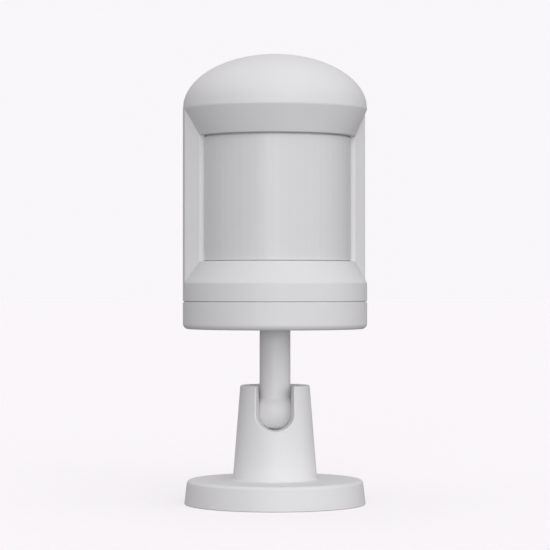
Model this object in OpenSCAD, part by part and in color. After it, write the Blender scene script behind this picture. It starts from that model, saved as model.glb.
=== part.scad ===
// Passive infrared motion sensor: a round head with a curved lens, standing on a
// slotted ball-joint stand. Origin at the centre of the underside, +Z up, lens towards -Y.

/* [Stand] */
// Diameter of the base disc at its underside
base_d = 46.2; // [44:0.2:50]
// Height of the base disc
base_h = 6.2; // [6:0.1:7.4]
// Diameter of the cup where it rises from the disc
cup_foot_d = 21.4; // [20.5:0.1:23]
// Diameter of the cup at its rim
cup_rim_d = 17.7; // [17:0.1:19]
// Height of the cup's rim
cup_rim_z = 30.3; // [29.5:0.1:31]

/* [Ball joint] */
// Diameter of the ball
ball_d = 10.5; // [10:0.1:10.8]
// Height of the ball's centre
ball_z = 23.5; // [23:0.1:24]
// Gap between the ball and its socket
ball_gap = 0.08; // [0.05:0.01:0.1]
// Width of the slot that the stem tips into, at the ball
slot_w = 8.1; // [8.1:0.1:8.6]
// Width of the slot at the cup's outside
slot_mouth_w = 9.4; // [9.2:0.1:10.2]
// Height of the centre of the slot's round bottom
slot_z = 23.1; // [22.9:0.1:23.2]
// Diameter of the stem at the ball
stem_foot_d = 7.9; // [7.6:0.05:7.9]
// Diameter of the stem under the head
stem_top_d = 7.84; // [7.4:0.02:7.84]

/* [Head] */
// Diameter of the head
head_d = 47; // [46.6:0.2:50]
// Height of the head's underside
head_z = 44.6; // [44:0.1:46]
// Height of the bottom cap's outer edge, at the seam
cap_rim_z = 51.35; // [51.3:0.05:51.5]
// Width of the seam between the bottom cap and the hood
seam_w = 0.35; // [0.3:0.05:0.5]
// Height where the dome springs from the hood's wall
dome_z = 100.8; // [100.8:0.1:101.4]
// Height of the dome's top
top_z = 114.6; // [114.2:0.1:116]
// Wall thickness of the hood
hood_wall = 1.6; // [1.4:0.1:1.7]
// Turn of the head on its stem
head_yaw = 11; // [-180:1:180]

/* [Window] */
// Height of the window frame's outer bottom edge
frame_low_z = 56.3; // [56.2:0.1:56.8]
// Height of the window frame's outer top edge
frame_high_z = 100.5; // [100:0.1:100.7]
// Height of the lens opening's bottom edge
open_low_z = 61.8; // [61.5:0.1:62.5]
// Height of the lens opening's top edge
open_high_z = 93.6; // [93:0.1:94]
// Radius of the bevelled frame's inner edge
open_r = 20.4; // [20.3:0.05:20.5]
// How far the lens sits behind the frame's inner edge
lens_depth = 1.1; // [1:0.05:1.15]
// Half of the angle that the lens opening spans
open_half_angle = 79; // [76:0.5:80]
// Thickness of the lens
lens_t = 1; // [0.8:0.1:1]

/* [Power] */
// Diameter of an AAA cell
cell_d = 10.5; // [10.4:0.1:10.5]
// Length of an AAA cell with its button
cell_l = 44.5; // [44:0.1:44.5]

/* [Hidden] */
$fn = 72;
over = 1; // how far a cutting shape runs past the face that it cuts

base_r = base_d / 2;
base_top_r = base_r - 0.6;
base_edge_r = 1;
cup_edge_r = 0.6;
cup_fillet_r = 0.7;
ball_r = ball_d / 2;
socket_r = ball_r + ball_gap;
head_r = head_d / 2;
hood_z = cap_rim_z + seam_w;
hood_in_r = head_r - hood_wall;
dome_h = top_z - dome_z;

// wall plate and the lugs that hold the base on it
pad_t = 0.8;
plate_r = 17.6;
plate_top_z = 3.5;
recess_r = 20;
recess_z = 3.9;
lug_count = 3;
plate_lug_angle = 26;
base_lug_angle = 20;
screw_spacing = 24;
screw_hole_r = 2.1;
adjuster_hole_r = 5.2;

// spring-loaded shoe under the ball
bore_r = 3.6;
plug_r = 4.2;
plug_top_z = 9;
pusher_z = 15;
shoe_in_r = ball_r + 0.05;
shoe_out_r = ball_r + 0.55;
pusher_seat_r = shoe_out_r + 0.05;

// swivel between the stem and the bottom cap
shoulder_z = head_z - 0.3;
spigot_r = 2.62;
swivel_bore_r = 2.7;
cap_floor_z = head_z + 2;
swivel_boss_z = cap_floor_z + 0.4;
spigot_z = swivel_boss_z + 0.9;
washer_t = 0.7;
washer_gap = 0.05;

// bottom cap's collar, which the hood slides over
collar_r = 21.5;
collar_in_r = 19.2;
collar_z = 55.6;
seal_z = 53.3;
seal_r = 0.6;
seal_centre_r = 21.05;
key_w = 3.4;

// chassis plate and its three screws
deck_z = 52;
deck_top_z = 53.6;
deck_r = 18.6;
deck_screw_r = 15.4;
deck_screw_angles = [0, 180, 270];

// battery cradle
cell_x = 5.75;
cell_y = 11.6;
cell_r = cell_d / 2;
cradle_x = 12.7;
cradle_y = 5;
cradle_back_y = 17.2;
cradle_r = 20.2;
bay_low_z = 55.2;
contact_t = 0.3;
contact_reach = 4.2;
spring_gap = 2.5;
bay_high_z = bay_low_z + 2 * contact_t + spring_gap + cell_l;
cradle_top_z = bay_high_z + 1.5;

// circuit board, its front face looking at the lens
board_x = 13.6;
board_front_y = 2.8;
board_t = 1.2;
board_low_z = 56.2;
board_high_z = 100;
board_screw_at = [[11.3, 59.2], [-11.3, 88]];
pir_z = 77.6;

// the button in the cap's floor and the tamper switch at the board's top
button_at = [-9, 1.1];
tamper_at = [-8.5, 1];
tamper_tip_z = 103;

// lens, the frame that clamps it, and their screws
lens_r = open_r - lens_depth;
lens_in_r = lens_r - lens_t;
flange_r = open_r - 1.6;
flange_in_r = flange_r - 0.8;
clamp_r = flange_in_r - 0.05;
clamp_in_r = clamp_r - 1.15;
boss_end_r = flange_in_r;
boss_root_r = 21.4;
boss_angles = [-35, 35];
boss_heights = [58.4, 97.2];

// Points on an arc about [x, y].
function arc(x, y, r, a0, a1, n = 6) =
    [for (i = [0:n]) let (a = a0 + (a1 - a0) * i / n) [x + r * cos(a), y + r * sin(a)]];

// Points up a dome: half an ellipse from its rim to its crown.
function dome(r, h, z, n = 18) = [for (i = [0:n]) [r * cos(90 * i / n), z + h * sin(90 * i / n)]];

module tube(r_out, r_in, z0, z1) {
    difference() {
        translate([0, 0, z0]) cylinder(r = r_out, h = z1 - z0);
        translate([0, 0, z0 - over]) cylinder(r = r_in, h = z1 - z0 + 2 * over);
    }
}

module disc(r, z0, z1) {
    translate([0, 0, z0]) cylinder(r = r, h = z1 - z0);
}

// A block between two corners.
module block(low, high) {
    translate(low) cube(high - low);
}

// A curved bar about the Z axis, its middle towards a.
module arc_bar(r0, r1, z0, z1, a, span) {
    rotate([0, 0, a - span / 2]) rotate_extrude(angle = span)
        translate([r0, z0]) square([r1 - r0, z1 - z0]);
}

// A peg along Y, from y0 to y1.
module peg_y(r, x, z, y0, y1) {
    translate([x, max(y0, y1), z]) rotate([90, 0, 0]) cylinder(r = r, h = abs(y1 - y0));
}

// A peg that points out from the Z axis, at an angle to the front.
module peg_out(r, a, z, r0, r1) {
    rotate([0, 0, a]) translate([0, -r0, z]) rotate([90, 0, 0]) cylinder(r = r, h = r1 - r0);
}

// Wire wound from radius ra at za to radius rb at zb.
module coil(ra, rb, za, zb, turns, wire_r, steps = 20, sides = 8) {
    rings = turns * steps;
    points = [for (i = [0:rings], j = [0:sides - 1])
        let (t = i / rings, a = 360 * turns * t, b = 360 * j / sides,
             r = ra + (rb - ra) * t + wire_r * cos(b),
             z = za + wire_r + (zb - za - 2 * wire_r) * t + wire_r * sin(b))
        [r * cos(a), r * sin(a), z]];
    sides_faces = [for (i = [0:rings - 1], j = [0:sides - 1])
        let (k = (j + 1) % sides)
        [i * sides + j, i * sides + k, (i + 1) * sides + k, (i + 1) * sides + j]];
    caps = [[for (j = [sides - 1:-1:0]) j], [for (j = [0:sides - 1]) rings * sides + j]];
    polyhedron(points = points, faces = concat(sides_faces, caps), convexity = 8);
}

// Pan-headed screw along Z: the head sits on z, the shank goes down.
module screw(head_rad, head_h, shank_r, length, z) {
    difference() {
        union() {
            disc(head_rad, z, z + head_h);
            disc(shank_r, z - length, z + head_h / 2);
        }
        for (a = [0, 90])
            rotate([0, 0, a])
                block([-head_rad * 0.6, -head_rad * 0.13, z + head_h * 0.45],
                      [head_rad * 0.6, head_rad * 0.13, z + head_h + over]);
    }
}

module turned_head() {
    rotate([0, 0, head_yaw]) children();
}

// ---------------------------------------------------------------- stand

module wall_plate() {
    color("gainsboro") difference() {
        union() {
            disc(plate_r, pad_t, plate_top_z);
            for (i = [0:lug_count - 1]) {
                a = 90 + i * 360 / lug_count;
                arc_bar(plate_r - 1, recess_r - 0.4, 2.15, plate_top_z - 0.1, a, plate_lug_angle);
                arc_bar(plate_r - 1, recess_r - 0.4, pad_t, 2.3, a - plate_lug_angle / 2 + 0.9, 1.8);
            }
        }
        disc(adjuster_hole_r, 0, plate_top_z + over);
        for (x = [-1, 1])
            translate([x * screw_spacing / 2, 0, 0]) {
                disc(screw_hole_r, 0, plate_top_z + over);
                translate([0, 0, plate_top_z - 1.5]) cylinder(r1 = screw_hole_r, r2 = 3.8, h = 1.7);
            }
    }
}

module foot_pad() {
    color("dimgray") difference() {
        disc(plate_r - 0.4, 0, pad_t);
        disc(adjuster_hole_r, -over, pad_t + over);
        for (x = [-1, 1])
            translate([x * screw_spacing / 2, 0, 0]) disc(3.2, -over, pad_t + over);
    }
}

module base_cup() {
    cup_slope = (cup_foot_d - cup_rim_d) / 2 / (cup_rim_z - base_h);
    outline = concat(
        [[0, 0], [base_r, 0]],
        arc(base_top_r - base_edge_r, base_h - base_edge_r, base_edge_r, 6, 90),
        arc(cup_foot_d / 2 + cup_fillet_r, base_h + cup_fillet_r, cup_fillet_r, 270, 184, 5),
        arc(cup_rim_d / 2 - cup_edge_r + cup_slope * cup_edge_r, cup_rim_z - cup_edge_r,
            cup_edge_r, 4, 90),
        [[0, cup_rim_z]]);
    color("white") difference() {
        union() {
            difference() {
                rotate_extrude() polygon(outline);
                disc(recess_r, -over, recess_z);
            }
            for (i = [0:lug_count - 1])
                arc_bar(recess_r - 2, recess_r + 0.6, 0.5, 1.85, 90 + i * 360 / lug_count,
                        base_lug_angle);
        }
        tube(8.6, 6.1, recess_z - over, 15); // cored out below, as a moulding is
        disc(plug_r, recess_z - over, plug_top_z);
        disc(bore_r, recess_z, ball_z);
        translate([0, 0, ball_z]) sphere(r = socket_r);
        stem_flare();
        stem_slot();
    }
}

// The flared mouth above the ball, which lets the stem lean.
module stem_flare() {
    lip_z = 2.1;
    lip_r = sqrt(socket_r * socket_r - lip_z * lip_z) - 0.03;
    mouth_r = 6.4;
    height = cup_rim_z - ball_z - lip_z;
    translate([0, 0, ball_z + lip_z - 0.05])
        cylinder(r1 = lip_r, r2 = mouth_r + (mouth_r - lip_r) * over / height, h = height + over);
}

// The open front of the cup: round below, straight above, wider towards the outside.
module stem_slot() {
    top = cup_rim_z + over;
    inner_y = 3.4;
    outer_y = cup_foot_d / 2;
    inner = slot_w / 2 - 0.01;
    outer = inner + (slot_mouth_w - slot_w) / 2 * (outer_y - inner_y) / (cup_rim_d / 2 - inner_y);
    translate([0, 0, slot_z]) rotate([90, 0, 0]) cylinder(r = slot_w / 2, h = outer_y);
    block([-slot_w / 2, -outer_y, slot_z], [slot_w / 2, 0, top]);
    translate([0, -inner_y, slot_z]) rotate([90, 0, 0])
        cylinder(r1 = inner, r2 = outer, h = outer_y - inner_y);
    translate([0, 0, slot_z]) linear_extrude(top - slot_z)
        polygon([[-inner, -inner_y], [inner, -inner_y], [outer, -outer_y], [-outer, -outer_y]]);
}

module ball_pusher() {
    color("dimgray") difference() {
        disc(bore_r - 0.1, pusher_z, ball_z - 4.75);
        translate([0, 0, ball_z]) sphere(r = pusher_seat_r);
        disc(1.4, pusher_z - over, pusher_z + 1.2);
    }
}

module pusher_spring() {
    color("silver") coil(2.6, 2.6, plug_top_z, pusher_z, 4, 0.35);
}

module spring_plug() {
    color("goldenrod") difference() {
        disc(plug_r - 0.04, recess_z + 0.2, plug_top_z);
        block([-3, -0.5, recess_z], [3, 0.5, recess_z + 1.4]);
    }
}

module ball_shoe() {
    color("khaki") translate([0, 0, ball_z]) difference() {
        intersection() {
            sphere(r = shoe_out_r);
            disc(2.6, -shoe_out_r - over, 0);
        }
        sphere(r = shoe_in_r);
    }
}

module stem_ball() {
    color("whitesmoke") difference() {
        union() {
            translate([0, 0, ball_z]) sphere(r = ball_r);
            translate([0, 0, ball_z + 2]) cylinder(r1 = stem_foot_d / 2, r2 = stem_top_d / 2,
                                                   h = shoulder_z - ball_z - 2);
            disc(spigot_r, shoulder_z - 1, spigot_z);
        }
        disc(1.92, 41, spigot_z + over);
    }
}

module swivel_insert() {
    color("goldenrod") tube(1.88, 1.52, 41.1, spigot_z);
}

module swivel_screw() {
    color("silver") screw(2.9, 1.9, 1.48, 7.2, spigot_z + washer_gap + washer_t);
}

module swivel_washer() {
    color("silver") tube(4.6, 1.6, spigot_z + washer_gap, spigot_z + washer_gap + washer_t);
}

// ---------------------------------------------------------------- bottom cap and chassis

module bottom_cap() {
    edge_r = 1.4;
    rim_edge = 0.25;
    tongue_r = head_r - 0.55;
    tongue_h = seam_w * 0.7;
    outline = concat(
        [[0, head_z]],
        arc(head_r - edge_r, head_z + edge_r, edge_r, 270, 360),
        [[head_r, cap_rim_z - rim_edge], [head_r - rim_edge, cap_rim_z],
         [tongue_r, cap_rim_z], [tongue_r, cap_rim_z + tongue_h],
         [collar_r, cap_rim_z + tongue_h], [collar_r, seal_z - 0.75], [seal_centre_r - 0.65, seal_z - 0.75],
         [seal_centre_r - 0.65, seal_z + 0.75], [collar_r, seal_z + 0.75],
         [collar_r, collar_z - 0.3], [collar_r - 0.3, collar_z], [collar_in_r, collar_z],
         [collar_in_r, cap_floor_z], [5.2, cap_floor_z], [5.2, swivel_boss_z],
         [0, swivel_boss_z]]);
    color("white") turned_head() difference() {
        union() {
            rotate_extrude() polygon(outline);
            for (a = deck_screw_angles)
                rotate([0, 0, a]) translate([deck_screw_r, 0, 0]) disc(2.6, cap_floor_z - 0.5, deck_z);
        }
        disc(swivel_bore_r, head_z - over, swivel_boss_z + over);
        translate(button_at) disc(2.5, head_z - over, cap_floor_z + over);
        for (a = deck_screw_angles)
            rotate([0, 0, a]) translate([deck_screw_r, 0, 0]) disc(1.05, 47.6, deck_z + over);
        block([-key_w / 2 - 0.35, collar_in_r - over, collar_z - 1.1],
              [key_w / 2 + 0.35, head_r, collar_z + over]);
    }
}

module disc_spring() {
    color("silver") rotate_extrude() translate([0, swivel_boss_z])
        polygon([[2.9, 0.5], [4.4, 0], [4.4, 0.3], [2.9, 0.8]]);
}

module seal_ring() {
    color("dimgray") rotate_extrude() translate([seal_centre_r, seal_z]) circle(r = seal_r);
}

module chassis() {
    color("darkgray") turned_head() difference() {
        union() {
            disc(deck_r, deck_z, deck_top_z);
            intersection() {
                union() {
                    block([-cradle_x, cradle_y, deck_top_z - 0.2],
                          [cradle_x, cell_y + 1, cradle_top_z]);
                    block([-cradle_x, cradle_y, deck_top_z - 0.2],
                          [cradle_x, cradle_back_y, bay_low_z]);
                    block([-cradle_x, cradle_y, bay_high_z],
                          [cradle_x, cradle_back_y, cradle_top_z]);
                }
                disc(cradle_r, deck_z, cradle_top_z + over);
            }
            for (p = board_screw_at) peg_y(2, p[0], p[1], board_front_y + board_t, cradle_y + 0.2);
        }
        for (x = [-cell_x, cell_x])
            translate([x, cell_y, 0]) disc(cell_r + 0.2, bay_low_z, bay_high_z);
        tube(cradle_r + over, collar_in_r - 0.1, deck_z - over, collar_z + 0.25);
        disc(5.4, deck_z - over, deck_top_z + over);
        translate(button_at) disc(1.65, deck_z - over, deck_top_z + over);
        for (a = deck_screw_angles)
            rotate([0, 0, a]) translate([deck_screw_r, 0, 0]) disc(1.3, deck_z - over, deck_top_z + over);
        for (p = board_screw_at) peg_y(1, p[0], p[1], 0, 8.5);
        for (z = [bay_low_z, bay_high_z - contact_t]) contact_strip(contact_reach + 0.1, z);
    }
}

module chassis_screws() {
    color("silver") turned_head() for (a = deck_screw_angles)
        rotate([0, 0, a]) translate([deck_screw_r, 0, 0]) screw(2.2, 1.5, 1, 5.8, deck_top_z);
}

module battery_cell(x, button_up) {
    body_l = cell_l - 1;
    low = button_up ? bay_low_z + contact_t + spring_gap : bay_low_z + contact_t;
    color("steelblue") turned_head() translate([x, cell_y, 0]) union() {
        disc(cell_r, button_up ? low : low + 1, button_up ? low + body_l : low + cell_l);
        disc(1.9, button_up ? low + body_l - 0.2 : low, button_up ? low + cell_l : low + 1.2);
    }
}

module battery_springs() {
    color("silver") turned_head() {
        translate([-cell_x, cell_y, 0])
            coil(3.6, 2.2, bay_low_z + contact_t, bay_low_z + contact_t + spring_gap, 3, 0.25);
        translate([cell_x, cell_y, 0])
            coil(2.2, 3.6, bay_high_z - contact_t - spring_gap, bay_high_z - contact_t, 3, 0.25);
    }
}

// A flat strip across both cells' ends.
module contact_strip(reach, z) {
    block([-cell_x - reach, cell_y - reach, z],
          [cell_x + reach, cell_y + reach, z + contact_t]);
}

module contact_plates() {
    color("silver") turned_head() {
        difference() {
            contact_strip(contact_reach, bay_low_z);
            block([-1, 0, bay_low_z - over], [1, cradle_r, bay_low_z + over]);
        }
        contact_strip(contact_reach, bay_high_z - contact_t);
    }
}

// ---------------------------------------------------------------- electronics

module circuit_board() {
    corner = 1.5;
    outline = [[-board_x + corner, board_low_z], [board_x - corner, board_low_z],
               [board_x, board_low_z + corner], [board_x, board_high_z - corner],
               [board_x - corner, board_high_z], [-board_x + corner, board_high_z],
               [-board_x, board_high_z - corner], [-board_x, board_low_z + corner]];
    color("seagreen") turned_head() difference() {
        translate([0, board_front_y + board_t, 0]) rotate([90, 0, 0])
            linear_extrude(board_t) polygon(outline);
        for (p = board_screw_at)
            peg_y(1.1, p[0], p[1], board_front_y - over, board_front_y + board_t + over);
    }
}

module board_screws() {
    color("silver") turned_head() for (p = board_screw_at)
        translate([p[0], board_front_y, p[1]]) rotate([90, 0, 0]) screw(1.9, 1.3, 0.92, 5, 0);
}

module pir_collar() {
    color("dimgray") turned_head() difference() {
        peg_y(6.2, 0, pir_z, -0.9, board_front_y);
        peg_y(4.75, 0, pir_z, -0.9 - over, board_front_y + over);
    }
}

module pir_sensor() {
    color("silver") turned_head() difference() {
        union() {
            peg_y(4.65, 0, pir_z, -0.8, 0);
            peg_y(4.15, 0, pir_z, -4.3, -0.4);
        }
        block([-2, -4.3 - over, pir_z - 1.5], [2, -3.9, pir_z + 1.5]);
    }
}

module pir_window() {
    color("darkslategray") turned_head()
        block([-1.98, -4.25, pir_z - 1.48], [1.98, -3.9, pir_z + 1.48]);
}

module pir_pins() {
    color("goldenrod") turned_head() for (a = [90, 210, 330])
        peg_y(0.25, 2.5 * cos(a), pir_z + 2.5 * sin(a), 0, board_front_y);
}

module status_led() {
    at = [9.5, 66];
    color("mintcream") turned_head() union() {
        peg_y(1.9, at[0], at[1], board_front_y - 1, board_front_y);
        peg_y(1.5, at[0], at[1], -0.6, board_front_y - 0.5);
        translate([at[0], -0.6, at[1]]) sphere(r = 1.5);
    }
}

module microcontroller() {
    half = 3.5;
    color("black") turned_head()
        block([-7.5 - half, board_front_y - 1, 68 - half], [-7.5 + half, board_front_y, 68 + half]);
}

module crystal() {
    color("silver") turned_head() block([-11.2, board_front_y - 1.2, 75.1],
                                        [-8.8, board_front_y, 80.1]);
}

module capacitor() {
    color("lightsteelblue") turned_head() union() {
        block([7.2, board_front_y - 0.7, 75], [12.4, board_front_y, 80.2]);
        peg_y(2.5, 9.8, 77.6, -2.6, board_front_y - 0.5);
    }
}

module radio_board() {
    color("darkgreen") turned_head()
        block([-3.4, board_front_y - 0.8, 85.4], [10.4, board_front_y, 97]);
}

module radio_shield() {
    color("silver") turned_head()
        block([-2.6, board_front_y - 2.6, 86.2], [7.6, board_front_y - 0.8, 96.2]);
}

module antenna() {
    color("goldenrod") turned_head() translate([0, 1.2, 98.6]) rotate([0, 90, 0])
        coil(1.1, 1.1, 0.5, 10, 7, 0.25, steps = 12, sides = 6);
}

// A switch body with a pit for its stem. It stands in front of the board.
module switch_body(x, z0, z1, pit_y, pit_r, pit0, pit1) {
    turned_head() difference() {
        block([x - 3, board_front_y - 3.5, z0], [x + 3, board_front_y, z1]);
        translate([x, pit_y, 0]) disc(pit_r, pit0, pit1);
    }
}

module button_switch() {
    color("dimgray") switch_body(button_at[0], 56.4, 60, button_at[1], 1.2, 56.4 - over, 58.3);
}

module tamper_switch() {
    color("dimgray") switch_body(tamper_at[0], 95.5, 99.5, tamper_at[1], 1.05, 96.4, 99.5 + over);
}

// ---------------------------------------------------------------- buttons

module pairing_button() {
    color("gray") turned_head() translate(button_at) union() {
        disc(2.42, head_z + 0.15, cap_floor_z + 0.6);
        disc(3.1, cap_floor_z + 0.1, cap_floor_z + 0.9);
        disc(1.3, cap_floor_z + 0.5, 55.8);
    }
}

module switch_stem() {
    color("black") turned_head() translate(button_at) disc(1.1, 55.8, 57.4);
}

module tamper_plunger() {
    color("red") turned_head() translate(tamper_at) union() {
        disc(0.95, 96.7, tamper_tip_z - 0.4);
        translate([0, 0, tamper_tip_z - 0.4]) cylinder(r1 = 0.95, r2 = 0.6, h = 0.4);
    }
}

// ---------------------------------------------------------------- hood and lens

// The space in front of the window frame, grown inwards and sideways by a margin.
module window_space(margin) {
    far_r = head_r + 4;
    low_slope = (open_low_z - frame_low_z) / (head_r - open_r);
    high_slope = (frame_high_z - open_high_z) / (head_r - open_r);
    low_shift = margin * sqrt(1 + low_slope * low_slope);
    high_shift = margin * sqrt(1 + high_slope * high_slope);
    near_r = open_r - margin;
    near_low = open_low_z + margin * low_slope - low_shift;
    near_high = open_high_z - margin * high_slope + high_shift;
    far_low = near_low - low_slope * (far_r - near_r);
    far_high = near_high + high_slope * (far_r - near_r);
    intersection() {
        rotate_extrude() polygon([[near_r, near_low], [far_r, far_low], [far_r, far_high],
                                  [near_r, near_high]]);
        translate([0, 0, far_low - over]) linear_extrude(far_high - far_low + 2 * over)
            frame_wedge(margin);
    }
}

// Plan of the window's front: its two side faces run from the lens out to the head's sides.
module frame_wedge(margin) {
    lens_x = open_r * sin(open_half_angle);
    lens_y = -open_r * cos(open_half_angle);
    rim_angle = 88;
    dx = head_r * sin(rim_angle) - lens_x;
    dy = -head_r * cos(rim_angle) - lens_y;
    rise = dy / dx;
    shift = margin * sqrt(1 + rise * rise);
    reach = 32;
    y_far = lens_y + shift + rise * (reach - lens_x);
    y_mid = lens_y + shift - rise * lens_x;
    polygon([[-reach, y_far], [0, y_mid], [reach, y_far], [reach, -reach], [-reach, -reach]]);
}

module hood() {
    land = 0.05; // the opening stops this short of the bevels
    outside = concat([[0, hood_z], [head_r - 0.2, hood_z], [head_r, hood_z + 0.2]],
                     dome(head_r, dome_h, dome_z));
    inside = concat([[0, hood_z - over], [hood_in_r, hood_z - over]],
                    dome(hood_in_r, dome_h - hood_wall, dome_z));
    color("white") turned_head() difference() {
        union() {
            difference() {
                rotate_extrude() polygon(outside);
                difference() {
                    rotate_extrude() polygon(inside);
                    window_space(hood_wall - 0.1);
                }
            }
            for (a = boss_angles, z = boss_heights) peg_out(2, a, z, boss_end_r, boss_root_r);
            block([-key_w / 2, collar_in_r + 0.4, collar_z - 0.8],
                  [key_w / 2, hood_in_r + 0.4, collar_z + 6]);
            translate(tamper_at) disc(1.5, tamper_tip_z + 0.1, dome_z + dome_h * 0.88);
        }
        window_space(0);
        arc_bar(flange_r - over, open_r + over, open_low_z + land, open_high_z - land, 270,
                2 * open_half_angle - 0.2);
        for (a = boss_angles, z = boss_heights) peg_out(0.85, a, z, boss_end_r - over, boss_root_r - 0.2);
    }
}

module fresnel_lens() {
    fit = 0.15;
    rim = 1.2;
    color("ivory") turned_head() difference() {
        union() {
            arc_bar(flange_in_r, lens_r, open_low_z + fit, open_high_z - fit - 0.2, 270,
                    2 * open_half_angle - 1);
            arc_bar(flange_in_r, flange_r - 0.05, open_low_z - 1.3, open_high_z + 1.3, 270,
                    2 * open_half_angle + 8);
        }
        arc_bar(flange_in_r - over, lens_in_r, open_low_z + rim, open_high_z - rim, 270,
                2 * open_half_angle - 8);
    }
}

module lens_frame() {
    color("gainsboro") turned_head() difference() {
        union() {
            arc_bar(clamp_in_r, clamp_r, open_low_z - 2.3, open_high_z + 2.4, 270,
                    2 * open_half_angle + 14);
            for (a = boss_angles, z = boss_heights) peg_out(2.4, a, z, clamp_in_r + 0.1, clamp_r - 0.05);
        }
        arc_bar(clamp_in_r - over, clamp_r + over, open_low_z + 1.2, open_high_z - 1.2, 270,
                2 * open_half_angle - 8);
        for (a = boss_angles, z = boss_heights) peg_out(1, a, z, clamp_in_r - over, clamp_r + over);
    }
}

module lens_screws() {
    color("silver") turned_head() for (a = boss_angles, z = boss_heights)
        rotate([0, 0, a]) translate([0, -clamp_in_r, z]) rotate([-90, 0, 0])
            screw(1.7, 1.2, 0.8, 4.2, 0);
}

wall_plate();
foot_pad();
base_cup();
ball_pusher();
pusher_spring();
spring_plug();
ball_shoe();
stem_ball();
swivel_insert();
swivel_screw();
swivel_washer();
bottom_cap();
disc_spring();
seal_ring();
chassis();
chassis_screws();
battery_cell(-cell_x, true);  // battery_cell_left
battery_cell(cell_x, false);  // battery_cell_right
battery_springs();
contact_plates();
circuit_board();
board_screws();
pir_collar();
pir_sensor();
pir_window();
pir_pins();
status_led();
microcontroller();
crystal();
capacitor();
radio_board();
radio_shield();
antenna();
button_switch();
tamper_switch();
pairing_button();
switch_stem();
tamper_plunger();
hood();
fresnel_lens();
lens_frame();
lens_screws();
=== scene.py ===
import math

import bmesh
import bpy
from mathutils import Matrix, Vector


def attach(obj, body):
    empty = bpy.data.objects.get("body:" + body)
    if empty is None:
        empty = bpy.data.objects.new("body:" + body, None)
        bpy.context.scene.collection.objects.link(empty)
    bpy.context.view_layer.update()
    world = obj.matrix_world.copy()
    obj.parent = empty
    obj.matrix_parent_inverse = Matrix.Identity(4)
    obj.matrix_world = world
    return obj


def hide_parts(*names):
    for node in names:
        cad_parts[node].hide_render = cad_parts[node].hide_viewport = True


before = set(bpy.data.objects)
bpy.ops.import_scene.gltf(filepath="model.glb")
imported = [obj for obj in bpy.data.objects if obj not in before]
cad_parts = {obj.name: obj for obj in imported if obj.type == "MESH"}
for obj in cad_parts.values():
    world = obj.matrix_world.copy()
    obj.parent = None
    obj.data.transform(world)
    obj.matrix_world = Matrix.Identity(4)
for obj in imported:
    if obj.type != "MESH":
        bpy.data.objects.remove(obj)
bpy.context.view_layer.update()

# ---------------------------------------------------------------- camera
# A long lens in front of the sensor, level with the top of its stem.
camera_data = bpy.data.cameras.new("camera")
camera_data.sensor_width = 36.0
camera_data.lens = 151.6
camera = bpy.data.objects.new("camera", camera_data)
camera.location = (0.0, -0.591, 0.0557)
camera.rotation_euler = (math.radians(90.257), 0.0, 0.0)
bpy.context.scene.collection.objects.link(camera)
bpy.context.scene.camera = camera

# ---------------------------------------------------------------- studio
# A pale table without an edge, soft light from the front and above, a little more of it
# from the right than from the left, and a weaker light behind.
bpy.context.scene.view_settings.view_transform = "Standard"
bpy.context.scene.render.film_transparent = False


def studio_world(seen, cast_low, cast_high):
    """A plain pale surround. It lights the sensor more from above than from below."""
    world = bpy.data.worlds.new("surround")
    bpy.context.scene.world = world
    world.use_nodes = True
    nodes, links = world.node_tree.nodes, world.node_tree.links
    nodes.clear()
    out = nodes.new("ShaderNodeOutputWorld")
    place = nodes.new("ShaderNodeTexCoord")
    height = nodes.new("ShaderNodeSeparateXYZ")
    ramp = nodes.new("ShaderNodeMapRange")
    ramp.inputs["From Min"].default_value = -0.6
    ramp.inputs["From Max"].default_value = 0.8
    ramp.inputs["To Min"].default_value = cast_low
    ramp.inputs["To Max"].default_value = cast_high
    cast = nodes.new("ShaderNodeBackground")
    cast.inputs["Color"].default_value = (1.0, 0.985, 1.0, 1.0)
    plain = nodes.new("ShaderNodeBackground")
    plain.inputs["Color"].default_value = (*seen, 1.0)
    ray = nodes.new("ShaderNodeLightPath")
    mix = nodes.new("ShaderNodeMixShader")
    links.new(place.outputs["Generated"], height.inputs["Vector"])
    links.new(height.outputs["Z"], ramp.inputs["Value"])
    links.new(ramp.outputs["Result"], cast.inputs["Strength"])
    links.new(ray.outputs["Is Camera Ray"], mix.inputs["Fac"])
    links.new(cast.outputs["Background"], mix.inputs[1])
    links.new(plain.outputs["Background"], mix.inputs[2])
    links.new(mix.outputs["Shader"], out.inputs["Surface"])


studio_world(seen=(0.949, 0.927, 0.949), cast_low=0.25, cast_high=0.52)


def soft_sun(name, towards, strength, spread):
    """A wide soft light that shines along a direction."""
    data = bpy.data.lights.new(name, "SUN")
    data.energy = strength
    data.angle = math.radians(spread)
    light = bpy.data.objects.new(name, data)
    light.rotation_euler = Vector(towards).to_track_quat("-Z", "Y").to_euler()
    bpy.context.scene.collection.objects.link(light)


soft_sun("front_light", (-0.25, 0.9, -0.33), 0.88, 60)
soft_sun("fill_light", (0.1, 1.0, -0.02), 0.74, 20)
soft_sun("right_light", (-0.95, 0.35, -0.1), 0.42, 50)
soft_sun("top_light", (0.05, 0.25, -1.0), 0.5, 90)
soft_sun("back_light", (0.1, -0.75, -0.7), 0.2, 60)

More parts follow.
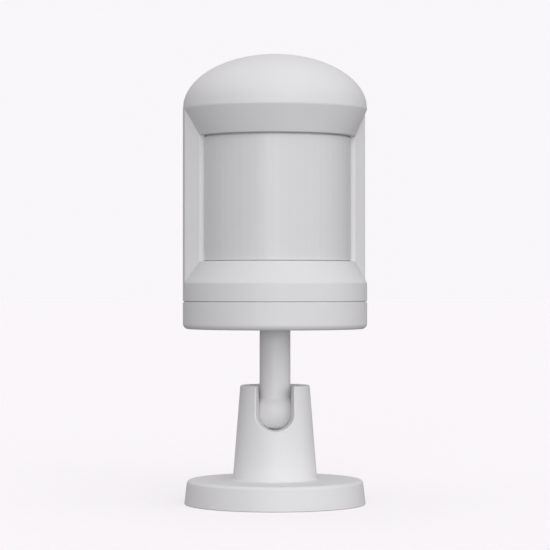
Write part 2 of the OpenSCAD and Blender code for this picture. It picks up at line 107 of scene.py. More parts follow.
bpy.ops.object.select_all(action="DESELECT")
bpy.ops.mesh.primitive_plane_add(size=12.0, location=(0.0, 3.0, 0.0))
table_top = bpy.context.object
table_top.name = "table_top"
paper = bpy.data.materials.new("paper")
paper.use_nodes = True
paper_shader = paper.node_tree.nodes["Principled BSDF"]
paper_shader.inputs["Base Color"].default_value = (0.6, 0.585, 0.6, 1.0)
paper_shader.inputs["Roughness"].default_value = 1.0
paper_shader.inputs["Specular IOR Level"].default_value = 0.0
paper_shader.inputs["Emission Color"].default_value = (1.0, 0.975, 1.0, 1.0)
paper_shader.inputs["Emission Strength"].default_value = 0.468
table_top.data.materials.append(paper)
table_top.visible_diffuse = False
table_top.visible_glossy = False

# ---------------------------------------------------------------- wall plate and foot pad
# A grey moulded plate that screws to a wall; its three lugs hold the base. Under it sticks a
# die-cut pad of foam rubber, with holes for the screws.


def new_finish(name):
    """A new material, with its nodes, links and shader and the piece's own coordinates."""
    made = bpy.data.materials.new(name)
    made.use_nodes = True
    nodes, links = made.node_tree.nodes, made.node_tree.links
    return made, nodes, links, nodes["Principled BSDF"], nodes.new("ShaderNodeTexCoord")


def set_node(nodes, kind, **values):
    """A new node with values on its sockets; an underscore stands for a space in a name."""
    node = nodes.new("ShaderNode" + kind)
    for socket, value in values.items():
        node.inputs[socket.replace("_", " ")].default_value = value
    return node


def multiply_colour(nodes, colour):
    """A node that multiplies a finish's plain colour by what is linked to its B."""
    tint = nodes.new("ShaderNodeMix")
    tint.data_type = "RGBA"
    tint.blend_type = "MULTIPLY"
    tint.inputs["Factor"].default_value = 1.0
    tint.inputs["A"].default_value = (*colour, 1.0)
    return tint


def emboss(made, pattern, strength, distance):
    """Raises a pattern on a finish, by a distance in metres at full strength."""
    nodes, links = made.node_tree.nodes, made.node_tree.links
    bump = set_node(nodes, "Bump", Strength=strength, Distance=distance)
    links.new(pattern, bump.inputs["Height"])
    links.new(bump.outputs["Normal"], nodes["Principled BSDF"].inputs["Normal"])


def moulded_plastic(name, colour, roughness, grain=0.00012, relief=0.06):
    """Injection-moulded plastic: an even colour with the fine matt skin of an etched mould,
    and a slight cloudiness in how it shines."""
    made, nodes, links, shader, place = new_finish(name)
    cloud = set_node(nodes, "TexNoise", Scale=90.0, Detail=3.0)
    tone = set_node(nodes, "MapRange", To_Min=0.975, To_Max=1.02)
    tint = multiply_colour(nodes, colour)
    shine = set_node(nodes, "MapRange", To_Min=roughness - 0.05, To_Max=roughness + 0.05)
    skin = set_node(nodes, "TexNoise", Scale=1.0 / (grain * 3.0), Detail=2.0)
    links.new(place.outputs["Object"], cloud.inputs["Vector"])
    links.new(place.outputs["Object"], skin.inputs["Vector"])
    links.new(cloud.outputs["Fac"], tone.inputs["Value"])
    links.new(cloud.outputs["Fac"], shine.inputs["Value"])
    links.new(tone.outputs["Result"], tint.inputs["B"])
    links.new(tint.outputs["Result"], shader.inputs["Base Color"])
    links.new(shine.outputs["Result"], shader.inputs["Roughness"])
    emboss(made, skin.outputs["Fac"], relief, grain)
    return made


def finish_node(name, material):
    """Gives a node of the frame its finish; its shape stays as it is."""
    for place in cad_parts[name].material_slots:
        place.material = material


def foam_rubber(name, colour):
    """Closed-cell foam rubber: matt, dark, pitted with fine cells, each one darker towards its sunk
    middle: painted shade in the pits.
    """
    made, nodes, links, shader, place = new_finish(name)
    shader.inputs["Roughness"].default_value = 0.92
    shader.inputs["Specular IOR Level"].default_value = 0.2
    cells = set_node(nodes, "TexVoronoi", Scale=2200.0)
    # the cells' own pattern, darkened where they sink deepest: painted shade in the pits
    tone = set_node(nodes, "MapRange", To_Min=0.6, To_Max=1.25)
    tint = multiply_colour(nodes, colour)
    links.new(place.outputs["Object"], cells.inputs["Vector"])
    links.new(cells.outputs["Distance"], tone.inputs["Value"])
    links.new(tone.outputs["Result"], tint.inputs["B"])
    links.new(tint.outputs["Result"], shader.inputs["Base Color"])
    emboss(made, cells.outputs["Distance"], 0.5, 0.0002)
    return made


finish_node("wall_plate", moulded_plastic("plate_grey", (0.6, 0.6, 0.61), 0.55, relief=0.12))
finish_node("foot_pad", foam_rubber("pad_foam", (0.035, 0.035, 0.038)))

# ---------------------------------------------------------------- base and cup
# The base disc and the cup for the ball are one white moulding. The cup is cored out from
# below, and its front has a U-shaped slot that the stem tips into, with soft edges.
MM = 0.001


def select_only(piece):
    """Selects one piece and makes it the active one."""
    bpy.ops.object.select_all(action="DESELECT")
    piece.select_set(True)
    bpy.context.view_layer.objects.active = piece


def face_outwards():
    """Turns every face of the piece in edit mode outwards, and leaves edit mode."""
    bpy.ops.mesh.select_all(action="SELECT")
    bpy.ops.mesh.normals_make_consistent(inside=False)
    bpy.ops.object.mode_set(mode="OBJECT")


def turned(name, steps, corners, spin_to=0.0, filled=True):
    """A ring of points grown from one (radius, height) to the next, in millimetres. It closes
    on itself where it comes back to its start; otherwise both of its ends are filled."""
    bpy.ops.object.select_all(action="DESELECT")
    bpy.ops.mesh.primitive_circle_add(
        vertices=corners, radius=steps[0][0] * MM, location=(0, 0, steps[0][1] * MM))
    made = bpy.context.object
    made.name = name
    bpy.ops.object.mode_set(mode="EDIT")
    bpy.ops.mesh.select_mode(type="VERT")
    bpy.ops.mesh.select_all(action="SELECT")
    for (radius, height), (next_radius, next_height) in zip(steps, steps[1:]):
        bpy.ops.mesh.extrude_region_move(
            TRANSFORM_OT_translate={"value": (0, 0, (next_height - height) * MM)})
        scale = next_radius / radius
        bpy.ops.transform.resize(value=(scale, scale, 1), center_override=(0, 0, 0))
    bpy.ops.mesh.select_all(action="SELECT")
    bpy.ops.mesh.remove_doubles(threshold=0.000001)
    if steps[0] != steps[-1] and filled:
        bpy.ops.mesh.fill_holes(sides=0)
    face_outwards()
    made.rotation_euler.z = spin_to
    settle(made)
    return made


def settle(piece):
    """Puts a piece's place, turn and size into its mesh."""
    select_only(piece)
    bpy.ops.object.transform_apply(location=True, rotation=True, scale=True)


def corner_arc(radius, height, bend, start, stop, steps):
    """Points round a corner's arc in a turned outline; the angles are in degrees."""
    angles = [math.radians(start + (stop - start) * i / steps) for i in range(steps + 1)]
    return [(radius + bend * math.cos(a), height + bend * math.sin(a)) for a in angles]


def cut(piece, tool, operation="DIFFERENCE"):
    """Takes the tool's shape out of the piece, or adds it, and clears the tool away."""
    select_only(piece)
    step = piece.modifiers.new("cut", "BOOLEAN")
    step.operation = operation
    step.solver = "EXACT"
    step.object = tool
    bpy.ops.object.modifier_apply(modifier=step.name)
    bpy.data.objects.remove(tool, do_unlink=True)


def select_edges(piece, wanted):
    """Goes into edit mode with just the wanted edges selected."""
    select_only(piece)
    bpy.ops.object.mode_set(mode="EDIT")
    bpy.ops.mesh.select_mode(type="EDGE")
    bpy.ops.mesh.select_all(action="DESELECT")
    mesh = bmesh.from_edit_mesh(piece.data)
    for edge in mesh.edges:
        if wanted(edge):
            edge.select_set(True)
    bmesh.update_edit_mesh(piece.data)


def soften(piece, wanted, width, segments=3):
    """Rounds the wanted edges; the width is in millimetres."""
    select_edges(piece, wanted)
    bpy.ops.mesh.bevel(offset=width * MM, segments=segments, affect="EDGES",
                       clamp_overlap=False, loop_slide=True)
    bpy.ops.object.mode_set(mode="OBJECT")


def smooth(piece):
    """Shades a piece smooth, but for its real edges, with the large faces kept plain."""
    select_only(piece)
    bpy.ops.object.shade_smooth_by_angle(angle=math.radians(32))
    step = piece.modifiers.new("even_shading", "WEIGHTED_NORMAL")
    step.keep_sharp = True
    bpy.ops.object.modifier_apply(modifier=step.name)


def hand_over(piece, material, body, slot, *nodes):
    """Shades a finished piece, gives it its material, hangs it on the body that carries it and
    hides the nodes of the frame that it stands for; its slot is not used."""
    smooth(piece)
    piece.data.materials.clear()
    piece.data.materials.append(material)
    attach(piece, body)
    if nodes:
        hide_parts(*nodes)


def is_sharp(edge, degrees):
    """True for an edge whose two faces meet at more than an angle."""
    return len(edge.link_faces) == 2 and edge.calc_face_angle(0.0) > math.radians(degrees)


# The base's white is lighter than the head's shell white: painted light, standing in for the light
# that the table throws back up onto the base.
base_white_painted_bounce = moulded_plastic("base_white_painted_bounce", (0.81, 0.805, 0.815), 0.5)

ball_middle = 23.5
ball_radius = 5.25
socket_radius = 5.33
disc_top = 6.2
recess_top = 3.9
rim_height = 30.3
rim_radius = 8.85
cup_foot_radius = 10.7
cup_slope = (cup_foot_radius - rim_radius) / (rim_height - disc_top)
slot_middle = 23.1
slot_radius = 4.05
slot_flare = 0.65
slot_edge = 0.5
rim_flare = 0.45

base_outline = [(20.0, 0.0), (22.9, 0.0), (23.1, 0.2)]
base_outline += corner_arc(21.5, disc_top - 1.0, 1.0, 6, 90, 6)
base_outline += corner_arc(11.4, disc_top + 0.7, 0.7, 270, 184, 5)
base_outline += corner_arc(rim_radius - 0.47, rim_height - 0.5, 0.5, 4, 90, 6)
base_outline += corner_arc(6.65, rim_height - 0.25, 0.25, 90, 160, 3)
base_outline += [(4.72, 25.7)]
socket_bend = [math.radians(a) for a in (22, 11, 0, -11, -22, -33, -42)]
base_outline += [(socket_radius * math.cos(a), ball_middle + socket_radius * math.sin(a))
                 for a in socket_bend]
base_outline += [(3.6, 19.5), (3.6, 9.0), (4.2, 9.0), (4.2, recess_top), (6.1, recess_top),
                 (6.1, 15.0), (8.6, 15.0), (8.6, recess_top), (20.0, recess_top), (20.0, 0.0)]
base_shell = turned("base_shell", base_outline, 96, math.radians(1.5))

# the tool for the slot: a half round drawn up into a U, with its rounded upper corners
bpy.ops.object.select_all(action="DESELECT")
bpy.ops.mesh.primitive_circle_add(
    vertices=64, radius=slot_radius * MM, fill_type="NGON",
    location=(0, 0, slot_middle * MM), rotation=(math.radians(90), 0, 0))
slot_tool = bpy.context.object
settle(slot_tool)
bpy.ops.object.mode_set(mode="EDIT")
bpy.ops.mesh.select_all(action="SELECT")
bpy.ops.mesh.bisect(plane_co=(0, 0, slot_middle * MM), plane_no=(0, 0, 1), clear_outer=True)
bpy.ops.object.mode_set(mode="OBJECT")
select_edges(slot_tool, lambda e: all(abs(v.co.z - slot_middle * MM) < 1e-6 for v in e.verts))
bend_steps = [math.radians(a) for a in (0, 18, 36, 54, 70, 84)]
levels = [slot_middle, 25.5, 28.0]
levels += [rim_height - rim_flare * (1 - math.sin(a)) for a in bend_steps] + [rim_height + 2.5]
for low, high in zip(levels, levels[1:]):
    bpy.ops.mesh.extrude_region_move(TRANSFORM_OT_translate={"value": (0, 0, (high - low) * MM)})


def shape_slot(flare, edge, depth=None):
    """Moves the tool's front outline to a depth under the cup's cone. The flare opens it at
    the sides but not at the bottom, the edge opens it all round, and towards the cup's rim it
    also opens in a quarter round."""
    mesh = bmesh.from_edit_mesh(slot_tool.data)
    for vertex in [v for v in mesh.verts if v.select]:
        across, up = vertex.co.x / MM, vertex.co.z / MM - slot_middle
        above = min(max(1 - (rim_height - vertex.co.z / MM) / rim_flare, 0.0), 0.995)
        corner = rim_flare * (1 - math.sqrt(1 - above * above))
        below = min(up, 0.0)
        angle = math.atan2(below, abs(across))
        reach = slot_radius + edge + corner
        sideways = reach * math.cos(angle) + flare * math.cos(angle)
        across = math.copysign(sideways, across)
        up = reach * math.sin(angle) if up < 0 else up
        cone = rim_radius + (rim_height - slot_middle - up) * cup_slope
        y = 0.0 if depth is None else depth - math.sqrt(cone * cone - across * across)
        vertex.co = Vector((across, y, slot_middle + up)) * MM
    bmesh.update_edit_mesh(slot_tool.data)


bpy.ops.mesh.select_mode(type="FACE")
bpy.ops.mesh.select_all(action="SELECT")
shape_slot(0.0, 0.0)
bpy.ops.mesh.extrude_region_move()
shape_slot(0.0, 0.0, 5.0)
for angle in bend_steps:
    bpy.ops.mesh.extrude_region_move()
    shape_slot(slot_flare, slot_edge * (1 - math.cos(angle)), slot_edge * (1 - math.sin(angle)))
bpy.ops.mesh.extrude_region_move()
shape_slot(slot_flare, slot_edge * 1.05, -3.0)
face_outwards()
cut(base_shell, slot_tool)


def ring_bar(inner, outer, low, high, middle, span):
    """A curved bar about the upright axis; its middle and its span are in degrees."""
    bpy.ops.object.select_all(action="DESELECT")
    bpy.ops.mesh.primitive_plane_add(
        size=1.0, location=((inner + outer) / 2 * MM, 0, (low + high) / 2 * MM),
        rotation=(math.radians(90), 0, 0))
    made = bpy.context.object
    made.scale = ((outer - inner) * MM, (high - low) * MM, 1)
    settle(made)
    made.rotation_euler.z = math.radians(middle - span / 2)
    settle(made)
    bpy.ops.object.mode_set(mode="EDIT")
    bpy.ops.mesh.select_all(action="SELECT")
    bpy.ops.mesh.spin(steps=12, angle=math.radians(-span), center=(0, 0, 0), axis=(0, 0, 1))
    face_outwards()
    return made


for lug in range(3):
    cut(base_shell, ring_bar(18.0, 20.6, 0.5, 1.85, 90 + 120 * lug, 20), "UNION")
hand_over(base_shell, base_white_painted_bounce, "base", "shell_plastic", "base_cup")

# ---------------------------------------------------------------- pusher, spring and plug
# What presses on the ball from below: a nylon pusher, a steel spring and a brass plug that
# is screwed into the cup's foot. A thin bearing shoe lies between the pusher and the ball.


def plated_metal(name, colour, roughness, streaks=(1.0, 1.0, 1.0), relief=0.08):
    """Plated or drawn metal with the fine lines that rolling and turning leave, drawn out
    along the direction where streaks is small, and with patches that shine less."""
    made, nodes, links, shader, place = new_finish(name)
    shader.inputs["Metallic"].default_value = 1.0
    stretch = set_node(nodes, "Mapping", Scale=streaks)
    lines = set_node(nodes, "TexNoise", Scale=4200.0, Detail=3.0)
    patches = set_node(nodes, "TexNoise", Scale=320.0)
    tone = set_node(nodes, "MapRange", To_Min=0.88, To_Max=1.06)
    tint = multiply_colour(nodes, colour)
    shine = set_node(nodes, "MapRange", To_Min=roughness - 0.08, To_Max=roughness + 0.12)
    links.new(place.outputs["Object"], stretch.inputs["Vector"])
    links.new(stretch.outputs["Vector"], lines.inputs["Vector"])
    links.new(place.outputs["Object"], patches.inputs["Vector"])
    links.new(lines.outputs["Fac"], tone.inputs["Value"])
    links.new(tone.outputs["Result"], tint.inputs["B"])
    links.new(tint.outputs["Result"], shader.inputs["Base Color"])
    links.new(patches.outputs["Fac"], shine.inputs["Value"])
    links.new(shine.outputs["Result"], shader.inputs["Roughness"])
    emboss(made, lines.outputs["Fac"], relief, 0.000008)
    return made


spring_steel = plated_metal("spring_steel", (0.42, 0.42, 0.44), 0.34)
turned_brass = plated_metal("turned_brass", (0.62, 0.44, 0.17), 0.33, (1, 1, 6))
finish_node("ball_pusher", moulded_plastic("nylon_grey", (0.07, 0.07, 0.075), 0.45))
finish_node("pusher_spring", spring_steel)
finish_node("spring_plug", turned_brass)
finish_node("ball_shoe", moulded_plastic("bearing_cream", (0.66, 0.58, 0.4), 0.3, relief=0.02))

# ---------------------------------------------------------------- ball and stem
# One white moulding too: the ball, the slightly tapered stem and the spigot that the head
# turns on. The ball runs into the stem in a small fillet.
# A touch lighter than the head's shell white: painted light, to lift the ball and the stem where
# they lie in shade, deep in the cup's slot and under the head.
stem_white_painted_fill = moulded_plastic("stem_white_painted_fill", (0.77, 0.765, 0.775), 0.46, relief=0.03)
ball_bend = [math.radians(a) for a in range(-84, 40, 6)]
stem_outline = [(ball_radius * math.cos(a), ball_middle + ball_radius * math.sin(a))
                for a in ball_bend]
stem_outline += [(4.05, 27.0), (3.98, 27.25), (3.94, 27.8), (3.92, 44.2), (3.8, 44.3),
                 (2.62, 44.3), (2.62, 47.7), (2.45, 47.9), (1.92, 47.9), (1.92, 41.0), (0.3, 41.0)]
stem = turned("stem", stem_outline, 96)
hand_over(stem, stem_white_painted_fill, "stem", "stem_plastic", "stem_ball")

# ---------------------------------------------------------------- screws and swivel
# Cross-headed pan screws of plated steel with a rolled thread. The largest one holds the head
# on the stem, over a washer and a disc spring, in a brass insert.


def place_at(piece, location, turn=(0.0, 0.0, 0.0)):
    """Turns a piece, in degrees, and moves it, in millimetres."""
    piece.rotation_euler = [math.radians(a) for a in turn]
    piece.location = Vector(location) * MM
    settle(piece)


def joined(name, pieces):
    """One piece out of several loose ones."""
    bpy.ops.object.select_all(action="DESELECT")
    for piece in pieces:
        piece.select_set(True)
    bpy.context.view_layer.objects.active = pieces[0]
    if len(pieces) > 1:
        bpy.ops.object.join()
    pieces[0].name = name
    return pieces[0]


def copies(model, places):
    """The model at each (location, turn), with a mesh of its own; the model itself goes."""
    made = []
    for location, turn in places:
        piece = model.copy()
        piece.data = model.data.copy()
        bpy.context.scene.collection.objects.link(piece)
        place_at(piece, location, turn)
        made.append(piece)
    bpy.data.objects.remove(model, do_unlink=True)
    return made


def block_bar(low, high):
    """A plain block between two corners, to cut with or to shape further."""
    bpy.ops.object.select_all(action="DESELECT")
    low, high = Vector(low) * MM, Vector(high) * MM
    bpy.ops.mesh.primitive_cube_add(size=1.0, location=(low + high) / 2, scale=high - low)
    made = bpy.context.object
    settle(made)
    return made


def pan_screw(head_radius, head_height, shank_radius, length):
    """A screw along Z with its seat at zero, the head above it and the thread below."""
    turns = int((length - 0.6) / (0.5 * shank_radius))
    outline = [(0.35 * shank_radius, -length), (0.78 * shank_radius, 0.25 - length)]
    for i in range(turns):
        z = 0.3 - length + (length - 0.6) * i / turns
        outline += [(0.82 * shank_radius, z), (shank_radius, z + (length - 0.6) / turns / 2)]
    outline += [(0.82 * shank_radius, -0.25), (0.95 * shank_radius, 0.0), (0.97 * head_radius, 0.0),
                (head_radius, 0.12 * head_height), (head_radius, 0.4 * head_height)]
    outline += corner_arc(0.62 * head_radius, 0.4 * head_height, 0.38 * head_radius, 20, 70, 3)
    outline += [(0.62 * head_radius, 0.985 * head_height), (0.2 * head_radius, head_height)]
    outline = [(r, min(z, head_height)) for r, z in outline]
    made = turned("screw", outline, 32)
    reach, half = 0.6 * head_radius, 0.13 * head_radius
    for low, high in (((-reach, -half), (reach, half)), ((-half, -reach), (half, reach))):
        cut(made, block_bar((*low, 0.45 * head_height), (*high, 2 * head_height)))
    return made


screw_zinc = plated_metal("screw_zinc", (0.55, 0.55, 0.57), 0.3, (1, 1, 8), 0.05)
swivel_screw = joined("swivel_screw_turned",
                      copies(pan_screw(2.9, 1.9, 1.48, 7.2), [((0, 0, 48.65), (0, 0, 0))]))
hand_over(swivel_screw, screw_zinc, "stem", "screw_steel", "swivel_screw")
finish_node("swivel_washer", screw_zinc)
finish_node("swivel_insert", turned_brass)

# ---------------------------------------------------------------- bottom cap
# The white cap that closes the head from below. Its collar stands up inside the hood and
# carries the seal; three posts take the chassis screws, and the button shows in its floor.
head_turn = math.radians(11)
head_spin = Matrix.Rotation(head_turn, 4, "Z")


def turn_with_head(piece):
    """Turns a piece that was made looking straight ahead to where the head looks."""
    piece.rotation_euler.z = head_turn
    settle(piece)
    return piece


def round_bar(radius, low, high, at):
    """A plain upright peg that other shapes are cut or joined with, turned with the head."""
    bpy.ops.object.select_all(action="DESELECT")
    bpy.ops.mesh.primitive_cylinder_add(
        vertices=32, radius=radius * MM, depth=(high - low) * MM,
        location=(at[0] * MM, at[1] * MM, (low + high) / 2 * MM))
    made = bpy.context.object
    settle(made)
    return turn_with_head(made)


cap_outline = [(2.7, 44.6)]
cap_outline += corner_arc(22.1, 46.0, 1.4, 270, 360, 7)
cap_outline += corner_arc(23.36, 51.26, 0.14, 0, 90, 3)
cap_outline += [(23.22, 51.4), (23.22, 51.64), (21.5, 51.64), (21.5, 52.55), (20.4, 52.55),
                (20.4, 54.05), (21.5, 54.05), (21.5, 55.3), (21.2, 55.6), (19.2, 55.6),
                (19.2, 46.6), (5.2, 46.6), (5.2, 47.0), (2.7, 47.0), (2.7, 44.6)]
shell_white = moulded_plastic("shell_white", (0.76, 0.755, 0.765), 0.5)
cap_shell = turned("cap_shell", cap_outline, 180, head_turn)
button_at = (-9.0, 1.1)
cut(cap_shell, round_bar(2.5, 43, 48, button_at))
posts_at = [(15.4 * math.cos(math.radians(a)), 15.4 * math.sin(math.radians(a)))
            for a in (0, 180, 270)]
for at in posts_at:
    cut(cap_shell, round_bar(2.6, 46.1, 52, at), "UNION")
    cut(cap_shell, round_bar(1.05, 47.6, 53, at))
cut(cap_shell, turn_with_head(block_bar((-2.05, 18.2, 54.5), (2.05, 24, 57))))
hand_over(cap_shell, shell_white, "cap", "shell_plastic", "bottom_cap")
finish_node("disc_spring", spring_steel)
finish_node("seal_ring", moulded_plastic("seal_silicone", (0.075, 0.075, 0.08), 0.42, relief=0.02))

# ---------------------------------------------------------------- pairing button
# A grey moulded button in the cap's floor. Its face has a soft edge and a dimple; its post
# reaches up to the switch, whose own stem is black.
button_outline = [(0.3, 45.0), (0.9, 44.95), (1.5, 44.82), (1.75, 44.75)]
button_outline += corner_arc(2.17, 45.0, 0.25, 270, 360, 4)
button_outline += [(2.42, 46.7), (3.1, 46.7), (3.1, 47.5), (1.5, 47.5), (1.3, 47.7), (1.3, 55.6),
                   (1.15, 55.75), (0.3, 55.75)]
button_body = turned("button_body", button_outline, 48)
place_at(button_body, (*button_at, 0))
turn_with_head(button_body)
button_grey = moulded_plastic("button_grey", (0.3, 0.3, 0.31), 0.42, relief=0.04)
hand_over(button_body, button_grey, "button", "button_plastic", "pairing_button")
black_moulding = moulded_plastic("black_moulding", (0.02, 0.02, 0.021), 0.42, relief=0.08)
finish_node("switch_stem", black_moulding)

# ---------------------------------------------------------------- chassis and cells
# A grey moulded deck with a cradle for two AAA cells, screwed to the cap's three posts. The
# cells stand opposite ways up between sprung and flat contacts of nickel-plated strip.
finish_node("chassis", moulded_plastic("chassis_grey", (0.34, 0.345, 0.355), 0.5, relief=0.1))
chassis_screws = joined("deck_screws", copies(
    pan_screw(2.2, 1.5, 1.0, 5.8), [((*at, 53.6), (0, 0, 0)) for at in posts_at]))
turn_with_head(chassis_screws)
hand_over(chassis_screws, screw_zinc, "cap", "screw_steel", "chassis_screws")


def cell_jacket(name, foot, top):
    """A cell's printed metal jacket between bare steel ends: a blue field, a narrow white
    band and a silver field, from the foot's height to the button's."""
    made, nodes, links, shader, place = new_finish(name)
    shader.inputs["Roughness"].default_value = 0.3
    axes = nodes.new("ShaderNodeSeparateXYZ")
    along = set_node(nodes, "MapRange", From_Min=foot * MM, From_Max=top * MM)
    field = nodes.new("ShaderNodeValToRGB")
    metal = nodes.new("ShaderNodeValToRGB")
    steel, silver = (0.5, 0.5, 0.51), (0.56, 0.57, 0.59)
    blue, white = (0.05, 0.13, 0.3), (0.75, 0.76, 0.77)
    fields = ((0.0, steel, 1.0), (0.009, blue, 0.5), (0.7, white, 0.0), (0.72, silver, 0.9),
              (0.968, steel, 1.0))
    for ramp in (field.color_ramp, metal.color_ramp):
        ramp.interpolation = "CONSTANT"
        while len(ramp.elements) < len(fields):
            ramp.elements.new(1.0)
    for i, (at, colour, shine) in enumerate(fields):
        field.color_ramp.elements[i].position = at
        field.color_ramp.elements[i].color = (*colour, 1.0)
        metal.color_ramp.elements[i].position = at
        metal.color_ramp.elements[i].color = (shine, shine, shine, 1.0)
    scuffs = set_node(nodes, "TexNoise", Scale=700.0, Detail=4.0)
    links.new(place.outputs["Object"], axes.inputs["Vector"])
    links.new(axes.outputs["Z"], along.inputs["Value"])
    links.new(along.outputs["Result"], field.inputs["Fac"])
    links.new(along.outputs["Result"], metal.inputs["Fac"])
    links.new(field.outputs["Color"], shader.inputs["Base Color"])
    links.new(metal.outputs["Color"], shader.inputs["Metallic"])
    links.new(place.outputs["Object"], scuffs.inputs["Vector"])
    emboss(made, scuffs.outputs["Fac"], 0.05, 0.0001)
    return made


cell_outline = [(0.3, 0.2), (4.2, 0.2), (4.4, 0.0), (4.85, 0.0), (5.15, 0.12), (5.25, 0.35),
                (5.25, 42.8), (5.17, 43.15), (4.9, 43.4), (4.5, 43.5), (4.2, 43.35),
                (2.9, 43.3), (2.6, 43.45), (1.9, 43.5), (1.9, 44.25), (1.72, 44.45), (0.3, 44.5)]
for side, x, foot, top in (("left", -5.75, 58.0, 102.5), ("right", 5.75, 100.0, 55.5)):
    cell = turned("cell_" + side, cell_outline, 72)
    place_at(cell, (x, 11.6, foot), (0, 0 if top > foot else 180, 0))
    turn_with_head(cell)
    hand_over(cell, cell_jacket("cell_jacket_" + side, foot, top), "cap", "cell_jacket",
              "battery_cell_" + side)

nickel_strip = plated_metal("nickel_strip", (0.58, 0.56, 0.52), 0.28, (1, 6, 6), 0.05)
finish_node("battery_springs", spring_steel)
finish_node("contact_plates", nickel_strip)

# ---------------------------------------------------------------- circuit board
# A glass-epoxy board under green solder mask, screwed to the cradle's back. It carries the
# controller, its crystal, a capacitor and a row of small chips, all soldered to its front.
board_front = 2.8


def solder_mask(name, colour):
    """Green mask, glossy, over copper tracks that show through it a little lighter."""
    made, nodes, links, shader, place = new_finish(name)
    shader.inputs["Roughness"].default_value = 0.28
    areas = set_node(nodes, "TexVoronoi", Scale=150.0)
    areas.distance = "MANHATTAN"
    across = set_node(nodes, "TexWave", Scale=300.0)
    across.bands_direction = "X"
    upright = set_node(nodes, "TexWave", Scale=300.0)
    upright.bands_direction = "Z"
    for wave in (across, upright):
        links.new(place.outputs["Object"], wave.inputs["Vector"])
    pick = nodes.new("ShaderNodeMath")
    pick.operation = "GREATER_THAN"
    pick.inputs[1].default_value = 0.5
    tracks = nodes.new("ShaderNodeMix")
    edge = nodes.new("ShaderNodeMath")
    edge.operation = "GREATER_THAN"
    edge.inputs[1].default_value = 0.72
    tint = nodes.new("ShaderNodeMix")
    tint.data_type = "RGBA"
    tint.inputs["A"].default_value = (*colour, 1.0)
    tint.inputs["B"].default_value = (colour[0] * 2.6, colour[1] * 1.7, colour[2] * 1.8, 1.0)
    links.new(place.outputs["Object"], areas.inputs["Vector"])
    links.new(areas.outputs["Color"], pick.inputs[0])
    links.new(pick.outputs["Value"], tracks.inputs["Factor"])
    links.new(across.outputs["Fac"], tracks.inputs["A"])
    links.new(upright.outputs["Fac"], tracks.inputs["B"])
    links.new(tracks.outputs["Result"], edge.inputs[0])
    links.new(edge.outputs["Value"], tint.inputs["Factor"])
    links.new(tint.outputs["Result"], shader.inputs["Base Color"])
    emboss(made, edge.outputs["Value"], 0.3, 0.00004)
    return made


board_green = solder_mask("board_green", (0.012, 0.11, 0.045))
solder_tin = plated_metal("solder_tin", (0.6, 0.6, 0.6), 0.32)
finish_node("circuit_board", board_green)
finish_node("radio_board", board_green)

board_screws = joined("board_screws_turned", copies(pan_screw(1.9, 1.3, 0.92, 5.0), [
    ((x, board_front, z), (90, 0, 0)) for x, z in ((11.3, 59.2), (-11.3, 88.0))]))
turn_with_head(board_screws)
hand_over(board_screws, screw_zinc, "cap", "screw_steel", "board_screws")


def rounded_block(name, low, high, width, segments=3):
    """A block between two corners with every edge rounded."""
    made = block_bar(low, high)
    made.name = name
    soften(made, lambda e: True, width, segments)
    return made


controller_x, controller_z = -7.5, 68.0
controller = rounded_block("controller_package", (-11.0, board_front - 1.0, 64.5),
                           (-4.0, board_front - 0.1, 71.5), 0.12, 2)


def peg_along_y(radius, x, z, front, back, corners=32):
    """A plain peg that points at the lens."""
    bpy.ops.object.select_all(action="DESELECT")
    bpy.ops.mesh.primitive_cylinder_add(
        vertices=corners, radius=radius * MM, depth=(back - front) * MM,
        location=(x * MM, (front + back) / 2 * MM, z * MM), rotation=(math.radians(90), 0, 0))
    made = bpy.context.object
    settle(made)
    return made


cut(controller, peg_along_y(0.4, -10.1, 70.6, board_front - 1.3, board_front - 0.85, 24))
turn_with_head(controller)
hand_over(controller, black_moulding, "cap", "black_plastic", "microcontroller")


def select_faces(piece, wanted):
    """Goes into edit mode with just the wanted faces selected."""
    select_edges(piece, lambda e: False)
    bpy.ops.mesh.select_mode(type="FACE")
    mesh = bmesh.from_edit_mesh(piece.data)
    for face in mesh.faces:
        face.select_set(wanted(face))
    bmesh.update_edit_mesh(piece.data)


# one gull-wing lead, bent down to the board, and its copies round the package's four sides
lead = block_bar((-0.14, board_front - 0.55, 0.0), (0.14, board_front - 0.4, 0.3))
select_faces(lead, lambda f: f.normal.z > 0.9)
bpy.ops.mesh.extrude_region_move(TRANSFORM_OT_translate={"value": (0, 0.38 * MM, 0.12 * MM)})
bpy.ops.mesh.extrude_region_move(TRANSFORM_OT_translate={"value": (0, 0, 0.3 * MM)})
bpy.ops.object.mode_set(mode="OBJECT")
lead_places = []
for side in (0, 90, 180, 270):
    across, up = math.sin(math.radians(side)), math.cos(math.radians(side))
    for along in [(i - 3.5) * 0.8 for i in range(8)]:
        lead_at = (controller_x + along * up + 3.4 * across, 0,
                   controller_z - along * across + 3.4 * up)
        lead_places.append((lead_at, (0, side, 0)))
leads = turn_with_head(joined("controller_leads", copies(lead, lead_places)))
hand_over(leads, solder_tin, "cap", "can_metal")

crystal = rounded_block("crystal_can", (-11.2, board_front - 1.2, 75.1),
                        (-8.8, board_front, 80.1), 0.45, 4)
turn_with_head(crystal)
pressed_can = plated_metal("pressed_can", (0.6, 0.6, 0.61), 0.26, (1, 1, 5), 0.04)
hand_over(crystal, pressed_can, "cap", "can_metal", "crystal")

